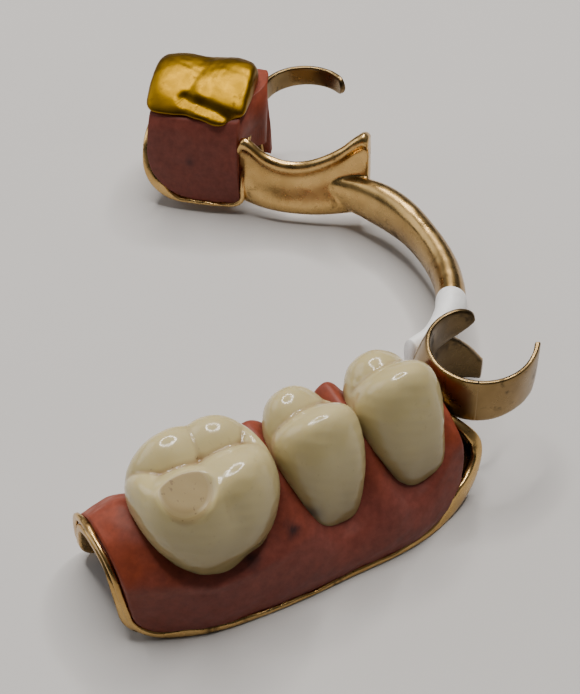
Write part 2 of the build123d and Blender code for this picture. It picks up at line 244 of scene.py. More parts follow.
def noise(tree, place, scale, detail=4.0, rough=0.55, distortion=0.0):
    node = tree.nodes.new("ShaderNodeTexNoise")
    node.inputs["Scale"].default_value = scale
    node.inputs["Detail"].default_value = detail
    node.inputs["Roughness"].default_value = rough
    node.inputs["Distortion"].default_value = distortion
    tree.links.new(place.outputs["Object"], node.inputs["Vector"])
    return node.outputs["Fac"]


def ramp(tree, source, stops):
    node = tree.nodes.new("ShaderNodeValToRGB")
    elements = node.color_ramp.elements
    while len(elements) < len(stops):
        elements.new(0.5)
    for element, (position, color) in zip(elements, stops):
        element.position = position
        element.color = color if len(color) == 4 else (*color, 1)
    tree.links.new(source, node.inputs["Fac"])
    return node.outputs["Color"]


def grey(value):
    return (value, value, value)


def mix(tree, factor, first, second, blend="MIX"):
    node = tree.nodes.new("ShaderNodeMix")
    node.data_type = "RGBA"
    node.blend_type = blend
    for socket, value in ((node.inputs[0], factor), (node.inputs[6], first), (node.inputs[7], second)):
        if isinstance(value, bpy.types.NodeSocket):
            tree.links.new(value, socket)
        elif isinstance(value, tuple):
            socket.default_value = (*value, 1)
        else:
            socket.default_value = value
    return node.outputs[2]


def attribute(tree, name):
    node = tree.nodes.new("ShaderNodeAttribute")
    node.attribute_name = name
    return node.outputs["Fac"]


def add_bump(tree, shader, heights):
    """Chains bump nodes: each entry is (height socket, strength, distance in metres)."""
    normal = None
    for height, strength, distance in heights:
        node = tree.nodes.new("ShaderNodeBump")
        node.inputs["Strength"].default_value = strength
        node.inputs["Distance"].default_value = distance
        tree.links.new(height, node.inputs["Height"])
        if normal is not None:
            tree.links.new(normal, node.inputs["Normal"])
        normal = node.outputs["Normal"]
    tree.links.new(normal, shader.inputs["Normal"])


def gold_material(name, light, deep, stain, roughness, spot_start=0.60):
    """Polished dental gold: uneven tone, dark spots, a darker tone and painted shade read from a vertex
    value, fine scratches and a hand-worked surface.
    """
    material, tree, shader, place = new_material(name)
    shader.inputs["Metallic"].default_value = 1.0
    cloud = ramp(tree, noise(tree, place, 260.0, 3.0), [(0.35, grey(0)), (0.7, grey(1))])
    tone = mix(tree, cloud, light, deep)
    freckles = noise(tree, place, 420.0, 6.0, 0.62, 0.4)
    spots = ramp(tree, freckles, [(spot_start, grey(0)), (spot_start + 0.12, grey(1))])
    tone = mix(tree, spots, tone, stain)
    # painted shade: a vertex value darkens the gold where it lies in shade, and darkens the bar's tone
    # overall
    tone = mix(tree, attribute(tree, "dark_tone_and_shade"), tone, (0.035, 0.026, 0.017))
    tree.links.new(tone, shader.inputs["Base Color"])
    smudge = noise(tree, place, 700.0, 5.0, 0.6)
    low, high = roughness
    rough = ramp(tree, smudge, [(0.3, grey(low)), (0.75, grey(high))])
    rough = mix(tree, spots, rough, grey(0.5))
    tree.links.new(rough, shader.inputs["Roughness"])
    waves = noise(tree, place, 330.0, 2.0)
    grain = noise(tree, place, 5200.0, 3.0, 0.6, 0.8)
    add_bump(tree, shader, [(waves, 0.5, 0.00012), (grain, 0.25, 0.00001)])
    return material


def vulcanite_material():
    """Old dental vulcanite: brown red with orange-red patches, dark stains, pits and a satin polish."""
    material, tree, shader, place = new_material("red_vulcanite")
    patches = ramp(tree, noise(tree, place, 120.0, 4.0, 0.55), [(0.32, grey(0)), (0.7, grey(1))])
    tone = mix(tree, patches, (0.185, 0.049, 0.037), (0.245, 0.060, 0.041))
    tone = mix(tree, attribute(tree, "warm"), tone, (0.225, 0.042, 0.018))
    mottle = ramp(tree, noise(tree, place, 1500.0, 6.0, 0.65), [(0.35, grey(0.80)), (0.7, grey(1.12))])
    tone = mix(tree, 1.0, tone, mottle, "MULTIPLY")
    tone = mix(tree, attribute(tree, "stain"), tone, (0.022, 0.016, 0.018))
    tree.links.new(tone, shader.inputs["Base Color"])
    rough = ramp(tree, noise(tree, place, 900.0, 5.0, 0.6), [(0.3, grey(0.42)), (0.75, grey(0.60))])
    tree.links.new(rough, shader.inputs["Roughness"])
    shader.inputs["Specular IOR Level"].default_value = 0.25
    pits = noise(tree, place, 1100.0, 4.0)
    grain = noise(tree, place, 6000.0, 2.0)
    add_bump(tree, shader, [(pits, 0.35, 0.00006), (grain, 0.2, 0.00001)])
    return material


def porcelain_material():
    """Glazed tooth porcelain: pale greenish ivory, yellow-brown in the grooves and towards the cervical end,
    where painted shade deepens it.
    """
    material, tree, shader, place = new_material("tooth_porcelain")
    cloud = ramp(tree, noise(tree, place, 170.0, 3.0), [(0.35, grey(0)), (0.7, grey(1))])
    tone = mix(tree, cloud, (0.482, 0.396, 0.196), (0.522, 0.436, 0.226))
    # yellow-brown cervical tint, deepened with painted shade
    tone = mix(tree, attribute(tree, "neck"), tone, (0.205, 0.150, 0.060))
    tone = mix(tree, attribute(tree, "groove"), tone, (0.25, 0.150, 0.065))
    tone = mix(tree, attribute(tree, "facet"), tone, (0.27, 0.190, 0.080))
    specks = ramp(tree, noise(tree, place, 2600.0, 2.0, 0.4), [(0.67, grey(0)), (0.73, grey(1))])
    tone = mix(tree, mix(tree, 1.0, specks, attribute(tree, "pits"), "MULTIPLY"), tone, (0.16, 0.10, 0.05))
    tone = mix(tree, attribute(tree, "stain"), tone, (0.10, 0.095, 0.085))
    tree.links.new(tone, shader.inputs["Base Color"])
    rough = ramp(tree, noise(tree, place, 1500.0, 4.0, 0.6), [(0.3, grey(0.10)), (0.75, grey(0.20))])
    rough = mix(tree, attribute(tree, "facet"), rough, grey(0.80))
    tree.links.new(rough, shader.inputs["Roughness"])
    shader.inputs["Subsurface Weight"].default_value = 0.35
    shader.inputs["Subsurface Radius"].default_value = (1.0, 0.8, 0.45)
    shader.inputs["Subsurface Scale"].default_value = 0.0011
    shader.inputs["IOR"].default_value = 1.5
    waves = noise(tree, place, 420.0, 3.0)
    grain = noise(tree, place, 3800.0, 3.0)
    add_bump(tree, shader, [(waves, 0.25, 0.0001), (grain, 0.12, 0.000012)])
    return material


def label_material():
    material, tree, shader, place = new_material("white_varnish")
    tone = ramp(tree, noise(tree, place, 900.0, 5.0), [(0.3, (0.78, 0.77, 0.75)), (0.7, (0.90, 0.90, 0.89))])
    tree.links.new(tone, shader.inputs["Base Color"])
    shader.inputs["Roughness"].default_value = 0.45
    add_bump(tree, shader, [(noise(tree, place, 1800.0, 4.0), 0.4, 0.00003)])
    return material


gold = gold_material(
    "worn_gold", (0.66, 0.43, 0.165), (0.47, 0.285, 0.095), (0.08, 0.045, 0.018), (0.20, 0.38)
)
clasp_gold = gold_material(
    "clasp_gold", (0.32, 0.215, 0.095), (0.21, 0.135, 0.055), (0.04, 0.028, 0.016), (0.22, 0.38), 0.56
)
crown_gold = gold_material(
    "yellow_gold", (0.27, 0.145, 0.003), (0.20, 0.104, 0.003), (0.09, 0.045, 0.006), (0.33, 0.45)
)
vulcanite = vulcanite_material()
porcelain = porcelain_material()
varnish = label_material()


def finish_piece(piece, material):
    """Gives a piece its material and slot, and fixes it to the rigid denture."""
    piece.data.materials.append(material)
    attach(piece, "denture")


def vertex_values(piece, name, values):
    """Stores one number per vertex for a material to read."""
    layer = piece.data.attributes.new(name, "FLOAT", "POINT")
    layer.data.foreach_set("value", np.ascontiguousarray(np.clip(values, 0, 1), dtype=np.float32))


# ---- porcelain teeth ----
def sphere_grid(count):
    """Directions of a cube's faces blown up to a sphere, with the quads that join them."""
    steps = np.tan(np.linspace(-math.pi / 4, math.pi / 4, count))
    u, v = np.meshgrid(steps, steps, indexing="ij")
    one = np.ones_like(u)
    sides = [(one, u, v), (-one, v, u), (v, one, u), (u, -one, v), (u, v, one), (v, u, -one)]
    points = np.concatenate([np.stack(side, -1).reshape(-1, 3) for side in sides])
    points /= np.linalg.norm(points, axis=1, keepdims=True)
    keys = {}
    index = np.empty(len(points), int)
    keep = []
    for i, key in enumerate(map(tuple, np.round(points, 6))):
        if key not in keys:
            keys[key] = len(keep)
            keep.append(i)
        index[i] = keys[key]
    faces = []
    for side in range(6):
        faces += [tuple(index[k] for k in face) for face in grid_faces(count, count, side * count * count)]
    return points[keep], faces


def solve_star(heart, reach, inside, density):
    """Surface of a star-shaped solid round heart, found along rays where inside() crosses zero."""
    directions, faces = sphere_grid(density)
    near = np.zeros(len(directions))
    far = np.full(len(directions), reach)
    for _ in range(26):
        middle = (near + far) / 2
        within = inside(heart + directions * middle[:, None]) > 0
        near = np.where(within, middle, near)
        far = np.where(within, far, middle)
    return heart + directions * near[:, None], faces


def segment_distance(p, start, end):
    start, end = np.array(start), np.array(end)
    along = np.clip((p - start) @ (end - start) / np.sum((end - start) ** 2), 0, 1)
    return np.linalg.norm(p - start - along[:, None] * (end - start), axis=1)


def molar_depth(p):
    """Each point's depth inside the first molar's sides, the biting surface there and the share of wear."""
    x, y, z = p[:, 0] - 8.4, p[:, 1] + 0.4, p[:, 2]
    half_length = curve([3.5, 5, 6.5, 8, 10, 11.5, 13, 14.5], [3.3, 3.9, 4.5, 5.0, 5.45, 5.35, 4.75, 3.8])(z)
    cheek = curve([3.5, 5, 6.5, 8, 10, 11.5, 13, 14.5], [4.1, 4.5, 4.8, 5.15, 5.15, 4.8, 4.2, 3.3])(z)
    tongue = curve([3.5, 5, 6.5, 8, 10, 11.5, 13, 14.5], [3.4, 3.8, 4.3, 4.7, 4.85, 4.65, 4.1, 3.1])(z)
    across = np.where(y < 0, cheek, tongue)
    cheek_side = np.clip(-y / 3, 0, 1)
    furrow = 0.035 * bump(x, 0.2, 1.0) * np.clip((z - 8) / 4, 0, 1) * cheek_side
    furrow += 0.05 * bump(x, 1.1, 0.9) * np.clip((z - 8) / 4, 0, 1) * np.clip(y / 3, 0, 1)
    furrow += 0.07 * bump(x, 1.2, 1.1) * np.clip((7.6 - z) / 2, 0, 1) * cheek_side
    radius = (np.abs(x / half_length) ** 2.55 + np.abs(y / across) ** 2.55) ** (1 / 2.55)
    wall = (1 - furrow - radius) * 5.0
    cusps = [(2.3, 2.3, 13.65, 0.20, 0.24), (-1.2, 2.8, 13.85, 0.18, 0.24), (1.8, -2.6, 14.10, 0.11, 0.17),
             (-2.2, -2.5, 14.3, 0.11, 0.17), (-4.2, -0.7, 13.25, 0.26, 0.13), (4.8, 0.3, 12.85, 0.55, 0.10)]
    tops = [h - a * (x - cx) ** 2 - b * (y - cy) ** 2 for cx, cy, h, a, b in cusps]
    top = smooth_max(tops, 0.11)
    away = np.hypot(x + 2.15, y + 2.0)
    worn = 13.42 + 0.03 * (x + 2.15) + 0.30 * (y + 2.0) + 0.03 * away**2
    worn = worn + 0.9 * np.clip(away - 1.6, 0, 9) ** 2
    facet = 0.9 * np.clip((top - worn) / 0.10, 0, 1) * np.clip((2.0 - away) / 0.4, 0, 1)
    top = smooth_min([top, worn], 0.06)
    return wall, top, facet


def premolar_depth(center, cheek_cusp, tongue_cusp, neck_shift):
    """The same for a premolar, from its long cheek cusp and low round tongue cusp."""
    cx, cy = center

    def depth(p):
        y, z = p[:, 1] - cy, p[:, 2]
        x = p[:, 0] - cx - neck_shift * np.clip((8 - z) / 3, 0, 1)
        heights = [3, 4.2, 5.5, 7, 8.5, 10, 11.5, 13, 14.5]
        half_length = curve(heights, [2.5, 2.65, 2.85, 3.1, 3.35, 3.52, 3.5, 3.1, 2.4])(z)
        cheek = curve(heights, [4.6, 4.7, 4.75, 4.65, 4.45, 4.1, 3.6, 2.9, 2.1])(z)
        tongue = curve([3, 6, 8, 10, 11.5, 13, 14.5], [0.6, 2.6, 3.6, 4.1, 4.0, 3.3, 2.2])(z)
        across = np.where(y < 0, cheek, tongue)
        half = half_length * (1 - 0.16 * np.clip(y / 3, 0, 1))
        waist = 0.08 * bump(y, 0.5, 0.9) * np.clip((z - 9) / 3, 0, 1)
        power = curve([4, 8, 12], [3.8, 3.1, 2.4])(z)
        radius = (np.abs(x / half) ** power + np.abs(y / across) ** power) ** (1 / power)
        wall = (1 - waist - radius) * 3.6
        bx, by, bh = cheek_cusp
        lx, ly, lh = tongue_cusp
        tops = [
            bh - 0.09 * (x - bx) ** 2 - 0.21 * (y - by) ** 2,
            lh - 0.20 * (x - lx) ** 2 - 0.22 * (y - ly) ** 2,
            11.4 - 0.5 * (x - 2.9) ** 2 - 0.12 * (y - 0.2) ** 2,
            11.8 - 0.5 * (x + 2.9) ** 2 - 0.12 * (y - 0.4) ** 2,
        ]
        return wall, smooth_max(tops, 0.16), np.zeros(len(p))

    return depth


def make_tooth(name, center, depth, bottom, rounding, neck_top, density, stain_at=None):
    """Solves the tooth's surface along rays from its middle, then marks the cervical tint with painted shade,
    grooves and wear.
    """
    heart = np.array([center[0], center[1], 9.2])

    def inside(p):
        wall, top, _ = depth(p)
        return smooth_min([wall, top - p[:, 2], p[:, 2] - bottom], rounding)

    points, faces = solve_star(heart, 9.5, inside, density)
    outwards = points - heart
    outwards /= np.linalg.norm(outwards, axis=1, keepdims=True)
    points += outwards * (0.035 * ripple(points, 3.2, 11))[:, None]
    piece = make_piece(name + "_porcelain", right.place(points), faces, name)
    wall, top, facet = depth(points)
    x, y, z = points.T
    blurred = np.stack([depth(points + np.array(step))[1] for step in
                        ((0.45, 0, 0), (-0.45, 0, 0), (0, 0.45, 0), (0, -0.45, 0))]).mean(0)
    crease = np.clip((blurred - top - 0.02) * 5.0, 0, 1) * np.clip((z - 10.8) * 1.5, 0, 1)
    vertex_values(piece, "groove", 0.9 * crease)
    # cervical tint: darker towards the bottom, partly the teeth's own tint and partly painted shade, a little
    # lighter again at the very bottom
    neck = 0.72 * np.clip((neck_top - z) / 4.5, 0, 1) - 0.25 * np.clip((5.2 - z) / 1.5, 0, 1)
    vertex_values(piece, "neck", neck)
    vertex_values(piece, "facet", facet)
    vertex_values(piece, "pits", np.clip(crease + 0.6 * facet + 0.10, 0, 1))
    stain = np.zeros(len(z))
    if stain_at is not None:
        stain = 0.85 * bump(np.linalg.norm(points - np.array(stain_at), axis=1), 0, 0.75)
    vertex_values(piece, "stain", stain)
    finish_piece(piece, porcelain)


tooth_density = 66
make_tooth("right_first_molar", (8.4, -0.4), molar_depth, 4.6, 0.34, 10.6, tooth_density + 14)
second_premolar_depth = premolar_depth((17.7, -0.5), (0.0, -2.0, 13.85), (-0.9, 2.35, 13.3), -0.3)
first_premolar_depth = premolar_depth((24.9, -0.7), (0.1, -1.8, 14.3), (-0.3, 2.1, 13.1), 0.3)
make_tooth("right_second_premolar", (17.7, -0.6), second_premolar_depth, 3.1, 0.60, 9.0, tooth_density,
           (15.2, -4.5, 6.6))
make_tooth("right_first_premolar", (24.9, -0.8), first_premolar_depth, 3.3, 0.60, 9.0, tooth_density)


# ---- saddles: plate, rim and gum share one rounded side outline ----
def side_reach(height, rear, front, bottom, rear_corner, front_corner):
    """Rear and front end of a saddle at a height, with its lower corners rounded."""
    def corner(radius):
        drop = np.clip(radius - (height - bottom), 0, radius)
        return radius - np.sqrt(np.maximum(radius**2 - drop**2, 0))
    return rear + corner(rear_corner), front - corner(front_corner)


RIGHT_OUTLINE = (0.0, 31.8, 0.0, 2.5, 5.6)
RIGHT_GUM_OUTLINE = (0.0, 30.9, 0.0, 2.5, 5.0)
LEFT_OUTLINE = (0.6, 11.3, 0.9, 4.0, 1.2)
LEFT_BLOCK_OUTLINE = (0.6, 11.3, 0.9, 5.4, 1.2)
right_edge_out = curve([-1, 1.5, 5, 10, 17, 24, 28, 32], [-2.1, -3.6, -5.3, -6.35, -6.95, -7.2, -6.3, -4.9])
right_edge_in = curve([-1, 1.5, 5, 10, 17, 24, 32], [6.2, 6.3, 6.3, 6.2, 5.9, 5.5, 4.7])
right_crest = curve([-1, 1.5, 5, 10, 17, 24, 32], [2.6, 2.0, 1.1, 0.4, -0.2, -0.5, -0.5])
right_crest_height = curve([-1, 1.5, 5, 10, 17, 24, 32], [8.1, 7.7, 7.1, 6.4, 5.9, 6.0, 6.6])
left_edge_out = curve([-1, 2.5, 7, 13.3], [-3.5, -4.1, -4.3, -3.8])
left_edge_in = curve([-1, 2.5, 7, 13.3], [4.3, 5.7, 5.9, 3.9])
left_crest = curve([-1, 2.5, 7, 13.3], [0.5, 0.7, 0.8, 0.6])
left_crest_height = curve([-1, 2.5, 7, 13.3], [6.8, 7.0, 6.8, 6.6])

# Arch of the plate across the ridge, from the -y border over the crest to the +y border: share of the way
# from border to crest, and share of the crest's height.
ARCH = [(0.0, 0.0), (0.05, 0.3), (0.19, 0.62), (0.44, 0.9), (1.0, 1.0)]


def arch_profile(out, inn, crest, height, bottom, samples):
    """Points (..., samples, 2) across a ridge for arrays of borders, crest place and height."""
    left_half = [(out + (crest - out) * a, bottom + (height - bottom) * b) for a, b in ARCH]
    right_half = [(inn + (crest - inn) * a, bottom + (height - bottom) * b) for a, b in ARCH[-2::-1]]
    points = np.stack([np.stack(np.broadcast_arrays(*p), -1) for p in left_half + right_half], -2)
    return spline_points(points, samples)


def saddle_grid(side_edges, outline, inset, lift, stations, samples, shape=None):
    """Surface grid of a saddle (stations, samples, 3), drawn in from its border and lifted off the ridge."""
    rear, front, bottom, rear_corner, front_corner = outline
    base = bottom + inset
    share = np.linspace(0, 1, stations)[:, None]
    guess = rear + (front - rear) * share
    grid = np.zeros((stations, samples, 3))
    x = np.broadcast_to(guess, (stations, samples)).copy()
    for _ in range(4):
        height = arch_profile_at(side_edges, base, samples, x, lift, shape)[..., 1]
        low, high = side_reach(height, rear + inset, front - inset, base, rear_corner, front_corner)
        x = low + (high - low) * share
    grid[..., 0] = x
    grid[..., 1:] = arch_profile_at(side_edges, base, samples, x, lift, shape)
    return grid


def arch_profile_at(side_edges, bottom, samples, x, lift, shape):
    """Profile points of each grid column at its own distance along the ridge."""
    edge_out, edge_in, crest, crest_height = side_edges
    picked = np.empty(x.shape + (2,))
    for j in range(samples):
        at = x[:, j]
        if shape is None:
            top = crest_height(at) + 2.2 * lift
            floor = np.full(len(at), bottom)
            points = arch_profile(edge_out(at) - lift, edge_in(at) + lift, crest(at), top, floor, samples)
        else:
            points = shape(at, bottom, samples)
        picked[:, j] = points[:, j]
    return picked


def grid_normals(grid):
    along = np.gradient(grid, axis=0)
    across = np.gradient(grid, axis=1)
    normal = np.cross(across, along)
    return normal / np.maximum(np.linalg.norm(normal, axis=-1, keepdims=True), 1e-9)


def ring_cut(grid, center, radius):
    """Pushes the front of a saddle back out of an upright clasp ring's cylinder."""
    moved = grid.copy()
    x, y = grid[..., 0], grid[..., 1]
    reach = np.sqrt(np.maximum(radius**2 - (y - center[1]) ** 2, 0))
    limit = np.where(np.abs(y - center[1]) < radius, center[0] - reach, 1e3)
    share = np.linspace(0, 1, grid.shape[0])[:, None] ** 2
    end = np.minimum(x[-1:], limit[-1:])
    moved[..., 0] = x + (end - x[-1:]) * share
    return moved


RIGHT_EDGES = (right_edge_out, right_edge_in, right_crest, right_crest_height)
LEFT_EDGES = (left_edge_out, left_edge_in, left_crest, left_crest_height)
stations = 120
samples = 61


def make_plate(name, side, edges, outline, ring):
    """Thin gold plate on the ridge: an outer surface and an inner one, lightly uneven like swaged sheet."""
    outer = saddle_grid(edges, outline, 0.0, -0.72, stations, samples)
    outer = ring_cut(outer, ring, 4.7)
    normal = grid_normals(outer)
    outer = outer + normal * (0.04 * ripple(outer, 6.0, 3))[..., None]
    inner = outer - normal * 0.55
    inner[:, 0, 2] = outer[:, 0, 2]
    inner[:, -1, 2] = outer[:, -1, 2]
    verts, faces = shell_mesh(side.place(outer), side.place(inner))
    piece = make_piece(name + "_gold", verts, faces, name)
    x, y, z = np.concatenate([outer.reshape(-1, 3), inner.reshape(-1, 3)]).T
    # painted shade on the front of the right plate, in the shaded corner beside the clasp ring
    vertex_values(piece, "dark_tone_and_shade", 0.9 * np.clip((x - 26.5) / 1.5, 0, 1) * np.clip((z - 1.0) / 1.5, 0, 1))
    finish_piece(piece, gold)


def border_loop(grid):
    """The grid's border as one closed run of points, with its surface normals and inward directions."""
    normal = grid_normals(grid)
    runs = []
    for block in (grid, normal):
        runs.append(np.concatenate([block[0, :-1], block[:-1, -1], block[-1, :0:-1], block[:0:-1, 0]]))
    points, normals = runs
    return points, normals


def resample_loop(points, count, *others):
    """Even samples round a closed run of points, carrying other arrays along."""
    closed = np.concatenate([points, points[:1]])
    length = np.concatenate([[0], np.cumsum(np.linalg.norm(np.diff(closed, axis=0), axis=1))])
    at = np.linspace(0, length[-1], count, endpoint=False)
    out = [np.stack([np.interp(at, length, closed[:, k]) for k in range(3)], -1)]
    for other in others:
        other = np.concatenate([other, other[:1]])
        out.append(np.stack([np.interp(at, length, other[:, k]) for k in range(3)], -1))
    return out


def smooth_loop(points, times):
    for _ in range(times):
        points = (np.roll(points, 1, 0) + 2 * points + np.roll(points, -1, 0)) / 4
    return points


def make_rim(name, side, edges, outline, ring, width_at, count, softening):
    """Finishing strip round a plate's border, of uneven width, with rounded edges."""
    grid = ring_cut(saddle_grid(edges, outline, 0.0, 0.1, 160, 81), ring, 4.75)
    points, normals = border_loop(grid)
    points, normals = resample_loop(points, count, normals)
    points = smooth_loop(points, softening)
    normals = smooth_loop(normals, 6)
    tangent = np.roll(points, -1, 0) - np.roll(points, 1, 0)
    tangent /= np.linalg.norm(tangent, axis=1, keepdims=True)
    normals -= tangent * (normals * tangent).sum(1, keepdims=True)
    normals /= np.linalg.norm(normals, axis=1, keepdims=True)
    inward = np.cross(normals, tangent)
    middle = grid.mean((0, 1))
    inward *= np.sign(((middle - points) * inward).sum(1, keepdims=True) + 1e-9)
    width = width_at(points)
    section = superellipse(14, 3.2)
    thickness = 0.30
    half_width = width[:, None, None] / 2
    across = inward[:, None] * (section[None, :, :1] * half_width + half_width)
    rings = points[:, None] + across + normals[:, None] * (section[None, :, 1:] * thickness + 0.12)
    rings[..., 2] = np.maximum(rings[..., 2], outline[2] + 0.02)
    verts, faces = sweep_mesh(side.place(rings), closed=True)
    piece = make_piece(name + "_gold", verts, faces, name)
    finish_piece(piece, gold)


def right_rim_width(p):
    """Thin under the gum, broad at the lower corners and up the front, wavy as filed by hand."""
    x, y, z = p.T
    cheek = y < 0
    width = 0.48 + 0.14 * ripple(p, 5.0, 8)
    width = width + 0.45 * bump(x, 3.6, 2.0) * cheek
    width = width + 1.5 * bump(x, 28.5, 2.8) * cheek * np.clip((6.5 - z) / 2, 0, 1)
    return np.clip(width, 0.25, 2.0)


def left_rim_width(p):
    x, y, z = p.T
    width = 0.40 + 0.14 * ripple(p, 5.0, 9) + 1.0 * bump(x, 2.0, 1.6) * (y < 0)
    return np.clip(width, 0.25, 1.5)


make_plate("right_base_plate", right, RIGHT_EDGES, RIGHT_OUTLINE, RIGHT_RING)
make_plate("left_base_plate", left, LEFT_EDGES, LEFT_OUTLINE, LEFT_RING)
make_rim("right_plate_rim", right, RIGHT_EDGES, RIGHT_OUTLINE, RIGHT_RING, right_rim_width, 420, 24)
make_rim("left_plate_rim", left, LEFT_EDGES, LEFT_OUTLINE, LEFT_RING, left_rim_width, 260, 4)

# ---- right gum ----
# dark stains of the gum: place, size and strength
STAINS = [((13.2, -5.2, 6.6), 0.55, 1.0), ((12.9, -5.2, 7.2), 0.45, 0.9), ((9.6, -5.4, 5.9), 0.6, 0.9),
          ((20.6, -5.4, 4.6), 0.35, 0.5), ((28.2, -5.4, 4.2), 0.3, 0.4)]
between_teeth = curve([0, 2.6, 5.0, 8.4, 12.2, 14.05, 15.6, 17.7, 19.9, 21.35, 22.8, 24.9, 27.2, 28.8, 31],
                      [1, 1.0, 0.25, 0, 0.25, 1.0, 0.25, 0, 0.3, 1.0, 0.3, 0, 0.3, 0.8, 0.9])
gum_top = curve([-1, 0, 3.2, 6, 12, 14.05, 16.5, 17.7, 19.5, 21.35, 23, 25, 27, 28.8, 31],
                [8.4, 8.6, 9.2, 7.6, 8.6, 10.4, 8.2, 7.2, 8.6, 10.5, 8.6, 7.2, 8.4, 9.8, 9.2])
gum_middle = curve([-1, 0, 3.2, 7, 14, 21, 31], [2.5, 2.3, 1.7, 0.8, 2.4, 2.6, 1.5])
margin_height = curve([-1, 0, 3.0, 6, 9, 12, 14.05, 16, 17.7, 19.8, 21.35, 23, 24.9, 27, 29, 31],
                      [6.0, 6.2, 6.6, 5.6, 5.4, 5.9, 6.9, 5.0, 4.3, 5.2, 6.8, 5.1, 4.6, 5.6, 6.6, 6.8])


def right_gum_shape(at, bottom, samples):
    """Gum profile across the ridge: flange, margin under the teeth, papilla between them, tongue side."""
    out = right_edge_out(at)
    inn = right_edge_in(at)
    middle = gum_middle(at)
    high = gum_top(at)
    margin = margin_height(at)
    between = between_teeth(at)
    margin_y = np.maximum(-5.35 + 0.75 * between, out + 0.45)
    points = [
        (out - 0.02, np.full_like(at, bottom)),
        (out - 0.14, bottom + 0.30 * margin),
        (out * 0.62 + margin_y * 0.38 - 0.06, bottom + 0.68 * margin),
        (margin_y, margin),
        (middle * 0.45 + margin_y * 0.55, margin + (high - margin) * 0.74),
        (middle, high),
        (middle * 0.45 + (inn - 1.3) * 0.55, high - 0.5 - 0.3 * between),
        (inn - 0.85, 0.66 * high),
        (inn - 0.1, 0.36 * high),
        (inn, np.full_like(at, bottom)),
    ]
    return spline_points(np.stack([np.stack(p, -1) for p in points], -2), samples)


def make_right_gum():
    rows = 190
    columns = 111
    outer = saddle_grid(RIGHT_EDGES, RIGHT_GUM_OUTLINE, 0.50, 0.0, rows, columns, right_gum_shape)
    # the gum stops short of the border at the front, so that the plate shows there
    short = 1.5 * np.clip((outer[..., 0] - 22) / 8, 0, 1) ** 2
    outer[..., 0] -= short
    outer = ring_cut(outer, RIGHT_RING, 5.0)
    normal = grid_normals(outer)
    uneven = 0.05 * ripple(outer, 4.5, 21) + 0.02 * ripple(outer, 1.4, 22)
    outer = outer + normal * uneven[..., None]
    inner = saddle_grid(RIGHT_EDGES, RIGHT_GUM_OUTLINE, 0.50, -0.75, rows, columns)
    inner[..., 0] = outer[..., 0]
    inner = inner_plate(inner, outer)
    verts, faces = shell_mesh(right.place(outer), right.place(inner))
    piece = make_piece("right_gum_vulcanite", verts, faces, "right_vulcanite_base")
    x, y, z = np.concatenate([outer.reshape(-1, 3), inner.reshape(-1, 3)]).T
    p = np.stack([x, y, z], -1)
    warm = 0.75 * np.clip((z - 5.2) / 2.2, 0, 1) + 0.7 * bump(x, 0, 3.2) + 0.6 * bump(x, 29, 3.2)
    vertex_values(piece, "warm", warm * (0.8 + 0.35 * ripple(p, 3.0, 5)))
    stain = np.zeros(len(x))
    for place, size, depth in STAINS:
        away = np.linalg.norm(p - np.array(place), axis=1) * (1 + 0.35 * ripple(p, 0.9, 7))
        stain += depth * bump(away, 0, size)
    vertex_values(piece, "stain", stain)
    finish_piece(piece, vulcanite)


def inner_plate(inner, outer):
    """Keeps the gum's fitting surface at least a little inside its outer one."""
    gap = outer - inner
    thin = np.linalg.norm(gap, axis=-1, keepdims=True) < 0.12
    return np.where(thin, outer - grid_normals(outer) * 0.12, inner)


make_right_gum()


# ---- clasps ----
def band(center, start, end, radius, thickness, bottom_at, top_at, steps,
         flare_at=None, tips=(0.0, 0.0), opening=None):
    """Rings of an upright curved strip between two angles; tips is each end's rounded reach in degrees."""
    angle = np.linspace(start, end, steps)
    way = np.sign(end - start)
    section = superellipse(26, 4.5)
    top = top_at(angle)
    low = bottom_at(angle)
    half = (top - low) / 2
    middle = (top + low) / 2
    for tip, gone in ((tips[0], (angle - start) * way), (tips[1], (end - angle) * way)):
        if tip > 0:
            share = np.clip(gone / tip, 0, 1)
            half = half * np.sqrt(np.clip(1 - (1 - share) ** 2, 0.0004, 1))
    turn = np.radians(angle)[:, None]
    height = middle[:, None] + section[None, :, 0] * half[:, None]
    wall = section[None, :, 1] * thickness / 2
    reach = radius + thickness / 2 + wall
    if opening is not None:
        reach = reach + opening(angle)[:, None]
    if flare_at is not None:
        below = top[:, None] - height
        outside = np.clip(section[None, :, 1], 0, 1)
        reach = reach + flare_at(angle)[:, None] * below * outside
    x = center[0] + reach * np.cos(turn)
    y = center[1] + reach * np.sin(turn)
    return np.stack([x, y, height], -1)


def make_band(name, side, rings, node):
    """Clasp piece, with painted shade on its face towards the tooth."""
    verts, faces = sweep_mesh(side.place(rings))
    piece = make_piece(name, verts, faces, node)
    ring, depth = (RIGHT_RING, 0.72) if side is right else (LEFT_RING, 0.35)
    points = rings.reshape(-1, 3)
    reach = np.hypot(points[:, 0] - ring[0], points[:, 1] - ring[1])
    # painted shade on the inner face of the ring
    dark = depth * np.clip((4.22 - reach) / 0.12, 0, 1) * (0.9 + 0.3 * ripple(points, 3.0, 17))
    vertex_values(piece, "dark_tone_and_shade", np.concatenate([dark, dark[:1], dark[-1:]]))
    piece.data.materials.append(clasp_gold)
    return piece


def constant(value):
    """The same height at every angle of a ring."""
    def at(angle):
        return np.full(len(angle), float(value))
    return at


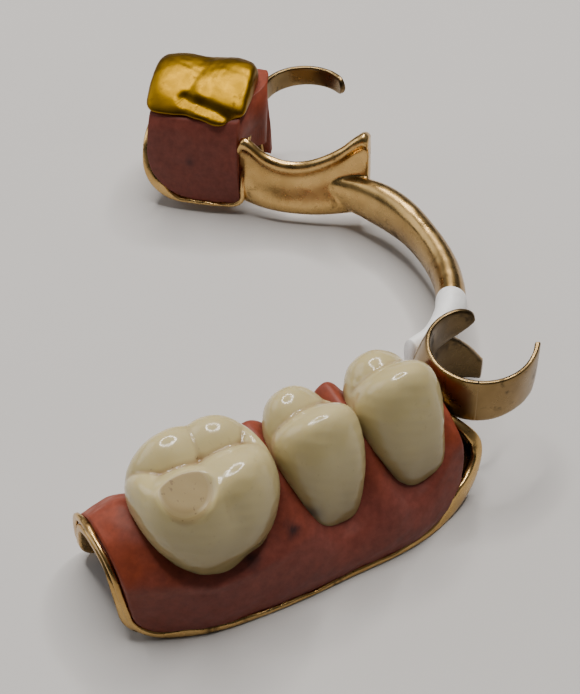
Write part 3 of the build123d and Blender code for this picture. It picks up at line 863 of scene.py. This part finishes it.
right_top = curve([60, 130, 180, 230, 337], [10.35, 10.4, 10.35, 10.3, 10.5])
right_back = band(RIGHT_RING, 128, 232, 3.86, 0.52, curve([128, 180, 232], [6.6, 5.9, 5.8]), right_top, 60,
                  curve([128, 150, 180, 232], [0.32, 0.22, 0.0, 0.0]))
back = make_band("right_clasp_back_gold", right, right_back, "right_clasp_band")
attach(back, "denture")
arm_bottom = curve([196, 250, 280, 300, 314, 321, 327], [5.75, 5.9, 6.1, 6.0, 6.2, 7.1, 9.4])
right_arm_top = curve([196, 270, 310, 327], [10.3, 10.3, 10.35, 10.7])
right_arm = band(RIGHT_RING, 196, 327, 3.9, 0.50, arm_bottom, right_arm_top, 130, tips=(0.0, 2.0),
                 opening=curve([196, 270, 300, 327], [0.0, 0.0, 0.1, 0.45]))
buccal = make_band("right_buccal_arm_gold", right, right_arm, "right_clasp_buccal_arm")
lingual_bottom = curve([60, 90, 134], [7.9, 7.2, 6.6])
lingual_rings = band(RIGHT_RING, 134, 57, 3.9, 0.50, lingual_bottom, right_top, 70,
                     curve([58, 80, 134], [0.0, 0.05, 0.30]), tips=(0.0, 26.0))
lingual = make_band("right_lingual_arm_gold", right, lingual_rings, "right_clasp_lingual_arm")


def ride_arm(piece, side, center, radius, root_angle, reach, height):
    """Works out a point at the hinge and one past it, which are not used, and bakes the arm's placement into
    its mesh.
    """
    def at(angle):
        turn = math.radians(angle)
        return side.place([center[0] + radius * math.cos(turn), center[1] + radius * math.sin(turn), height])
    tuple(at(root_angle))
    tuple(at(root_angle + reach))
    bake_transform(piece)


ride_arm(buccal, right, RIGHT_RING, 4.2, 227, 12, 8.0)
ride_arm(lingual, right, RIGHT_RING, 4.2, 133, -12, 8.6)

left_top = constant(11.0)
root_rings = band(LEFT_RING, 176, 158, 3.92, 0.58, constant(8.8), left_top, 20, tips=(6.0, 0.0))
root = make_band("left_clasp_root_gold", left, root_rings, "left_clasp_root")
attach(root, "denture")
left_bottom = curve([33, 100, 164], [9.1, 8.9, 8.8])
left_rings = band(LEFT_RING, 164, 33, 3.95, 0.52, left_bottom, left_top, 100, tips=(0.0, 12.0))
left_arm = make_band("left_buccal_arm_gold", left, left_rings, "left_clasp_buccal_arm")
ride_arm(left_arm, left, LEFT_RING, 4.3, 163, -12, 9.9)

# ---- cast gold on the tongue side: the bar and the plates at its two ends, run together ----
def left_plate_rings():
    """Scalloped plate: rolled top edge, hollow under it, heavy below where the bar grows out of it."""
    x = np.linspace(10.75, 23.7, 70)
    middle = curve([9.9, 13, 17, 20.5, 23.7], [-2.9, -3.55, -3.75, -3.45, -2.95])(x)
    top = curve([10.75, 11.1, 11.6, 12.2, 13.2, 15.0, 17.0, 19.0, 21.0, 22.6, 23.3, 23.7],
                [8.2, 8.8, 9.0, 8.7, 7.9, 7.2, 7.2, 7.85, 9.05, 10.4, 10.7, 10.3])(x)
    low = curve([9.9, 13, 18, 23.7], [1.3, 1.0, 0.9, 1.6])(x)
    tall = top - low
    swell = curve([9.9, 12, 18, 23.7], [0.35, 0.8, 1.0, 1.1])(x)
    zero = np.zeros_like(x)
    back = curve([9.9, 20.5, 23.7], [0.45, 0.5, 1.15])(x)
    outline = [(-0.9 * back, top - 0.4), (zero, top), (0.58 + zero, top - 0.22), (0.74 + zero, top - 0.85),
               (0.24 + zero, top - 1.8), (0.30 * swell, top - 0.45 * tall), (0.85 * swell, low + 0.30 * tall),
               (swell, low + 0.16 * tall), (0.75 * swell, low + 0.04 * tall), (0.1 + zero, low),
               (-0.8 * back, low + 0.12 * tall), (-back, low + 0.5 * tall), (-back, top - 1.3)]
    points = np.stack([np.stack(np.broadcast_arrays(a, b), -1) for a, b in outline], -2)
    closed = np.concatenate([points, points[:, :1]], 1)
    ring = spline_points(closed, 60)[:, :-1]
    along = np.broadcast_to(x[:, None], ring.shape[:2])
    return np.stack([along, middle[:, None] - ring[..., 0], ring[..., 1]], -1)


bar_route = np.array([(16.7, 20.6), (15.6, 17.0), (13.3, 13.4), (9.2, 10.3),
                      (3.0, 8.25), (-2.4, 8.3), (-6.2, 10.2), (-8.0, 12.6)])


def bar_rings(start, end, steps, swell=0.0):
    """Half-pear rings along the bar between two shares of its length, in arch millimetres."""
    line = spline_points(bar_route, 400)
    length = np.concatenate([[0], np.cumsum(np.linalg.norm(np.diff(line, axis=0), axis=1))])
    share = np.linspace(start, end, steps)
    plan = np.stack([np.interp(share * length[-1], length, line[:, k]) for k in range(2)], -1)
    heading = np.gradient(plan, axis=0)
    heading /= np.linalg.norm(heading, axis=1, keepdims=True)
    across = np.stack([-heading[:, 1], heading[:, 0]], -1)
    turn = np.linspace(0, 2 * math.pi, 36, endpoint=False)
    height_half = curve([0.05, 0.12, 0.22, 0.5, 0.85, 1.0], [0.8, 1.7, 2.3, 2.25, 2.2, 2.0])(share) + swell
    depth_half = curve([0.05, 0.12, 0.22, 0.5, 0.85, 1.0], [0.3, 0.8, 1.3, 1.3, 1.2, 0.8])(share) + swell
    middle = curve([0, 0.1, 0.3, 1.0], [3.6, 3.7, 3.8, 3.8])(share)
    pear = 1 + 0.16 * np.sin(turn + 0.4)
    side_step = np.cos(turn)[None] * depth_half[:, None] * pear
    rise = np.sin(turn)[None] * height_half[:, None]
    plan_ring = plan[:, None] + across[:, None] * side_step[..., None]
    return np.concatenate([plan_ring, (middle[:, None] + rise)[..., None]], -1)


def run_together(name, parts, voxel, rounds):
    """One skin over several closed meshes, with softened joints, as wax would leave them before casting."""
    verts, faces = [], []
    for part_verts, part_faces in parts:
        faces += [tuple(index + len(verts) for index in face) for face in part_faces]
        verts += [tuple(v) for v in part_verts]
    mesh = bpy.data.meshes.new(name)
    mesh.from_pydata(verts, [], faces)
    rough = bpy.data.objects.new(name, mesh)
    bpy.context.collection.objects.link(rough)
    remesh = rough.modifiers.new("skin", "REMESH")
    remesh.mode = "VOXEL"
    remesh.voxel_size = voxel
    soften = rough.modifiers.new("soften", "SMOOTH")
    soften.factor = 0.5
    soften.iterations = rounds
    bpy.context.view_layer.update()
    skin = bpy.data.meshes.new_from_object(rough.evaluated_get(bpy.context.evaluated_depsgraph_get()))
    bpy.data.objects.remove(rough)
    for polygon in skin.polygons:
        polygon.use_smooth = True
    piece = bpy.data.objects.new(name, skin)
    bpy.context.collection.objects.link(piece)
    return piece


wall_top = curve([44, 60, 84, 120, 152], [3.2, 5.0, 6.7, 6.6, 5.2])
wall_flare = curve([44, 152], [0.30, 0.34])
wall_rings = band(RIGHT_RING, 152, 44, 4.55, 0.9, constant(1.2), wall_top, 60, wall_flare)
whole_bar = bar_rings(0.05, 0.985, 150)
whole_bar = whole_bar + 0.03 * ripple(whole_bar, 5.0, 31)[..., None]
casting = run_together(
    "lingual_casting_gold",
    [
        sweep_mesh(left.place(left_plate_rings())),
        sweep_mesh(arch(whole_bar)),
        sweep_mesh(right.place(wall_rings)),
    ],
    0.00013,
    10,
)
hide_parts("lingual_bar", "left_lingual_plate", "right_lingual_plate")
points = np.array([vertex.co for vertex in casting.data.vertices]) / MM
ring_gap = np.linalg.norm(right.local(points) - np.array(RIGHT_RING), axis=1)
bar_share = np.clip((left.local(points)[:, 0] - 23.5) / 2, 0, 1)
# painted shade on the wall beside the right clasp ring, and a darker tone along the bar beyond the left plate
vertex_values(casting, "dark_tone_and_shade", 0.30 * bar_share + 0.56 * np.clip((5.2 - ring_gap) / 0.3, 0, 1))
finish_piece(casting, gold)
verts, faces = sweep_mesh(arch(bar_rings(0.76, 1.0, 46, 0.09)))
label = make_piece("catalogue_label_white", verts, faces, "catalogue_label")
finish_piece(label, varnish)


# ---- left block and crown ----
left_block_in = curve([-1, 2.5, 7, 10, 12.5], [4.3, 5.6, 6.1, 6.4, 6.2])
left_block_front = curve([-4.3, -2.6, 0.4, 2.6, 4.4, 6.4], [10.7, 10.95, 11.5, 12.3, 12.25, 11.5])


def left_block_shape(at, bottom, samples):
    """Upright block with rounded top edges under the crown."""
    out, inn = left_edge_out(at), left_block_in(at)
    low = np.full_like(at, bottom)
    foot = left_edge_in(at)
    points = [(out, low), (out - 0.08, low + 3.2), (out + 0.25, low + 6.6), (out + 0.75, low + 8.5),
              (out + 1.6, low + 9.3), (np.full_like(low, 0.8), low + 9.75), (inn - 1.3, low + 9.6),
              (inn - 0.35, low + 8.8), (inn, low + 5.5), (foot + 0.4, low + 2.6), (foot, low)]
    return spline_points(np.stack([np.stack(p, -1) for p in points], -2), samples)


def make_left_block():
    rows, columns = ((90, 111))
    outer = saddle_grid(LEFT_EDGES, LEFT_BLOCK_OUTLINE, 0.42, 0.0, rows, columns, left_block_shape)
    forward_share = np.linspace(0, 1, rows)[:, None] ** 3
    outer[..., 0] += forward_share * (left_block_front(outer[-1:, :, 1]) - outer[-1:, :, 0])
    rear_share = np.linspace(1, 0, rows)[:, None] ** 3
    outer[..., 0] += rear_share * 0.1 * np.clip(outer[..., 2] - 1.5, 0, 9)
    normal = grid_normals(outer)
    outer = outer + normal * (0.05 * ripple(outer, 4.5, 41))[..., None]
    inner = saddle_grid(LEFT_EDGES, LEFT_BLOCK_OUTLINE, 0.42, -0.75, rows, columns)
    inner[..., 0] = outer[..., 0]
    inner = inner_plate(inner, outer)
    verts, faces = shell_mesh(left.place(outer), left.place(inner))
    piece = make_piece("left_block_vulcanite", verts, faces, "left_vulcanite_block")
    p = np.concatenate([outer.reshape(-1, 3), inner.reshape(-1, 3)])
    vertex_values(piece, "warm", 0.9 * np.clip((p[:, 0] - 10.6) / 0.8, 0, 1) + 0.1 * ripple(p, 3.0, 6))
    vertex_values(piece, "stain", 0.6 * bump(np.linalg.norm(p - np.array((6.0, -4.2, 6.0)), axis=1), 0, 0.5))
    finish_piece(piece, vulcanite)


def make_crown():
    """Gold molar crown: a softly rounded cap with three mounds and a folded crease on its tongue side."""
    middle = np.array([6.45, 0.35, 0.0])

    def inside(p):
        x, y, z = (p - middle).T
        radius = (np.abs(x / 5.15) ** 5.5 + np.abs(y / 4.55) ** 5.5) ** (1 / 5.5)
        mounds = [13.15 - 0.036 * (x + 2.9) ** 2 - 0.066 * (y - 2.1) ** 2,
                  13.15 - 0.034 * (x - 2.7) ** 2 - 0.066 * (y - 2.1) ** 2,
                  12.70 - 0.250 * (x - 0.2) ** 2 - 0.110 * (y - 0.3) ** 2]
        top = smooth_max(mounds, 0.12) - z
        low = 10.55 - 0.5 * bump(x, 2.4, 1.6) * np.clip(-y / 3, 0, 1)
        body = smooth_min([(1 - radius) * 4.6, top, z - low], 0.34)
        fold = segment_distance(p - middle, (-1.1, -2.2, 11.85), (4.2, -3.6, 10.95))
        return body - 0.42 * np.exp(-((fold / 0.55) ** 2))

    points, faces = solve_star(middle + np.array([0, 0, 11.8]), 9.0, inside, 80)
    points = points + 0.035 * ripple(points, 2.6, 51)[:, None]
    piece = make_piece("left_crown_gold", left.place(points), faces, "left_gold_crown")
    finish_piece(piece, crown_gold)


make_left_block()
make_crown()

for node in ("right_retention_loops", "left_retention_loops", "left_crown_anchor"):
    carried = frame["nodes"][node]
    for index in range(max(1, len(carried.material_slots))):
        if carried.material_slots:
            carried.material_slots[index].material = gold
        else:
            carried.data.materials.append(gold)

# ---- floor, light and camera ----
center = np.array([(low + high) / 2 for low, high in zip(*cad_box)])


def make_floor():
    size = 3.0
    mesh = bpy.data.meshes.new("floor")
    corners = [(-size, -size, 0), (size, -size, 0), (size, size, 0), (-size, size, 0)]
    mesh.from_pydata(corners, [], [(0, 1, 2, 3)])
    floor = bpy.data.objects.new("floor", mesh)
    bpy.context.collection.objects.link(floor)
    material, tree, shader, place = new_material("pale_floor")
    cloud = noise(tree, place, 40.0, 3.0)
    tone = ramp(tree, cloud, [(0.3, (0.520, 0.499, 0.480)), (0.7, (0.535, 0.514, 0.495))])
    tree.links.new(tone, shader.inputs["Base Color"])
    shader.inputs["Roughness"].default_value = 0.75
    mesh.materials.append(material)


def aim(target, position, at):
    target.location = Vector(position)
    target.rotation_euler = (Vector(at) - Vector(position)).to_track_quat("-Z", "Y").to_euler()


def area_light(name, position, size, power, color=(1, 1, 1), shape="SQUARE"):
    data = bpy.data.lights.new(name, "AREA")
    data.shape = shape
    data.size = size
    data.energy = power
    data.color = color
    lamp = bpy.data.objects.new(name, data)
    bpy.context.collection.objects.link(lamp)
    aim(lamp, position, center)
    return lamp


make_floor()
# A ring of lamps almost overhead lights everything; one wide weak lamp fills the shadows.
LAMP_WAY = np.array([0.31, -0.09, 0.95])
LAMP_DISTANCE = 0.5
RING_RADIUS = 0.165
RING_LAMPS = 20
ring_middle = center + LAMP_WAY * LAMP_DISTANCE
ring_side = np.cross(LAMP_WAY, [0.0, 1.0, 0.0])
ring_side /= np.linalg.norm(ring_side)
ring_other = np.cross(LAMP_WAY, ring_side)
for index in range(RING_LAMPS):
    turn = 2 * math.pi * index / RING_LAMPS
    spot = ring_middle + RING_RADIUS * (math.cos(turn) * ring_side + math.sin(turn) * ring_other)
    area_light(f"ring_{index}", spot, 0.046, 0.212, (1.0, 0.975, 0.945), "DISK")
area_light("soft_fill", center + np.array([0.22, 0.50, 0.33]), 0.45, 1.1, (0.97, 0.985, 1.0))

world = bpy.data.worlds.new("studio")
bpy.context.scene.world = world
world.use_nodes = True
sky = world.node_tree
background = sky.nodes["Background"]
direction = sky.nodes.new("ShaderNodeTexCoord")
split = sky.nodes.new("ShaderNodeSeparateXYZ")
sky.links.new(direction.outputs["Generated"], split.inputs["Vector"])
sky_stops = [(0.0, grey(0.16)), (0.15, grey(0.14)), (0.5, grey(0.30)), (1.0, grey(0.56))]
shade = ramp(sky, split.outputs["Z"], sky_stops)
# the sky is darker in one fixed direction, above the right side, where the camera stands
dark_side = sky.nodes.new("ShaderNodeVectorMath")
dark_side.operation = "DOT_PRODUCT"
dark_side.inputs[1].default_value = (-0.70, 0.03, 0.71)
sky.links.new(direction.outputs["Generated"], dark_side.inputs[0])
dim = ramp(sky, dark_side.outputs["Value"], [(0.62, grey(1)), (0.86, grey(0.28))])
shade = mix(sky, 1.0, shade, dim, "MULTIPLY")
sky.links.new(shade, background.inputs["Color"])
background.inputs["Strength"].default_value = 0.44

camera_data = bpy.data.cameras.new("camera")
camera = bpy.data.objects.new("camera", camera_data)
bpy.context.collection.objects.link(camera)
SENSOR = 36.0
FOCAL_OVER_SENSOR = 1.878963
camera_data.sensor_width = SENSOR
camera_data.sensor_fit = "AUTO"
camera_data.lens = SENSOR * FOCAL_OVER_SENSOR
camera_data.clip_start = 0.005
camera_place = arch([-85.014, 25.809, 85.082])
look = Vector((0.69862, -0.02619, -0.71501))
up = Vector((0.71188, -0.07481, 0.69830))
side_way = look.cross(up)
camera.matrix_world = Matrix((
    (side_way.x, up.x, -look.x, camera_place[0]),
    (side_way.y, up.y, -look.y, camera_place[1]),
    (side_way.z, up.z, -look.z, camera_place[2]),
    (0, 0, 0, 1),
))
bpy.context.scene.camera = camera
